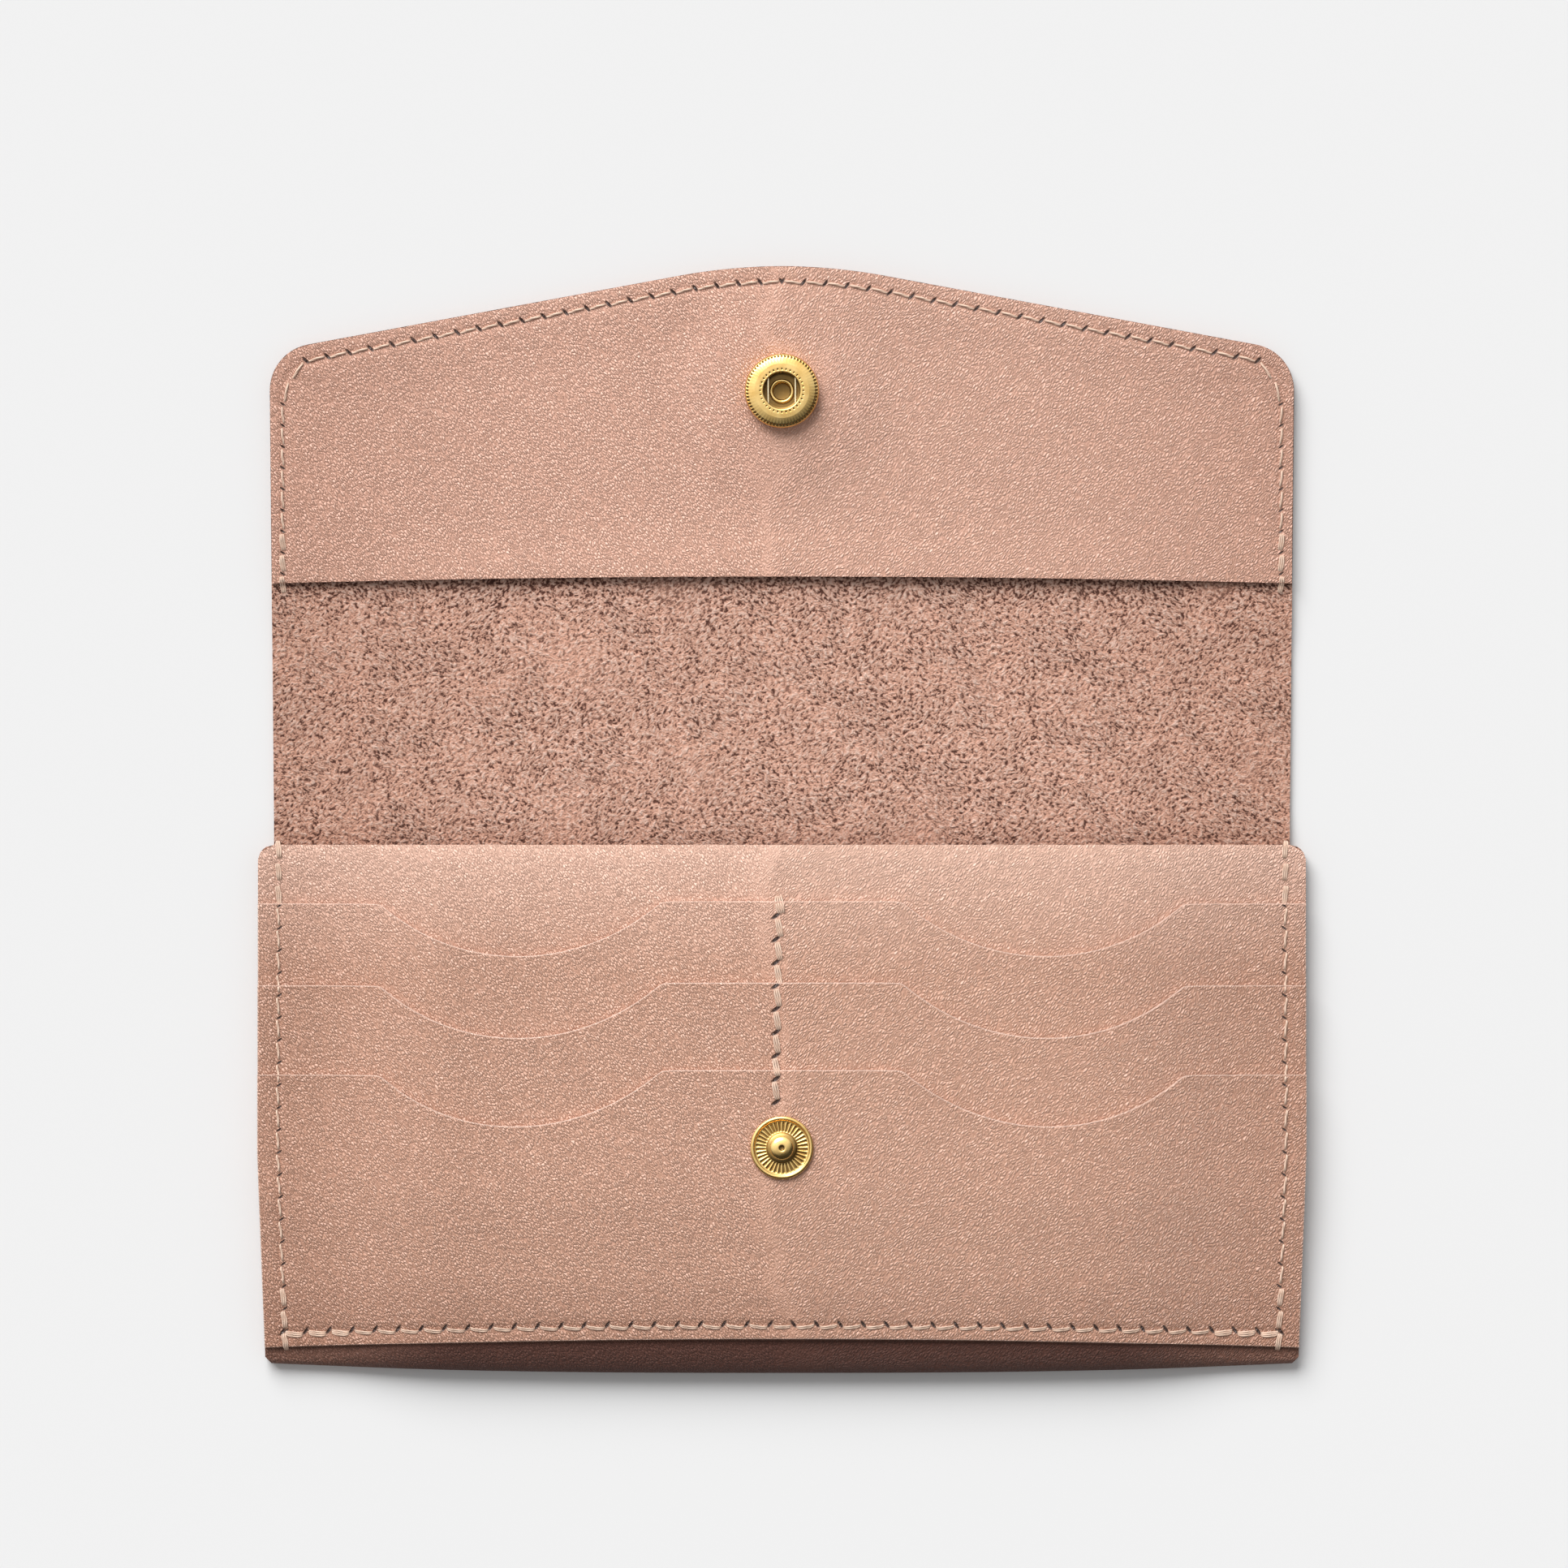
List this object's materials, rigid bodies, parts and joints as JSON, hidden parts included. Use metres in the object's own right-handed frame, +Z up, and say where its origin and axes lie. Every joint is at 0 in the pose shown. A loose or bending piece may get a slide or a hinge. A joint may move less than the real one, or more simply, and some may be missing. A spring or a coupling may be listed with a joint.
{
  "type": "clutch wallet",
  "caption": "Long envelope clutch wallet lying open: stitched pouch with three scalloped card pockets, suede neck and a lined flap with a ring snap.",
  "frame": {"origin": "on the table under the middle of the open wallet", "axes": "+Y from the bottom fold towards the flap's tip, +X across the pouch to the right as one looks at the pockets, +Z up from the table"},
  "size_m": [0.2, 0.2114, 0.013],
  "materials": {
    "leather": "smooth vegetable tanned cowhide with fine grain outside, suede inside",
    "lining": "smooth thin cowhide with fine pebble grain",
    "brass": "polished brass",
    "spring_wire": "drawn brass wire",
    "thread": "waxed two ply thread"
  },
  "bodies": {
    "pouch": {"body_leather": "leather", "card_pocket_top": "leather", "card_pocket_middle": "leather", "card_pocket_front": "leather", "snap_stud": "brass", "snap_stud_post": "brass"},
    "spine": {"spine_leather": "leather"},
    "flap": {"flap_leather": "leather", "flap_lining": "lining", "snap_socket": "brass", "snap_spring": "spring_wire", "snap_cap": "brass"}
  },
  "joints": [
    {"name": "neck_lower_bend", "type": "hinge", "parent": "pouch", "child": "spine", "pos_m": [0, 0.0026, 0.0019], "axis": [1, 0, 0], "range_deg": [0, 90]},
    {"name": "neck_upper_bend", "type": "hinge", "parent": "spine", "child": "flap", "pos_m": [0, 0.0167, 0.0019], "axis": [1, 0, 0], "range_deg": [0, 90]}
  ],
  "couplings": [
    {"joint": "neck_upper_bend", "follows": "neck_lower_bend", "ratio": 1}
  ]
}
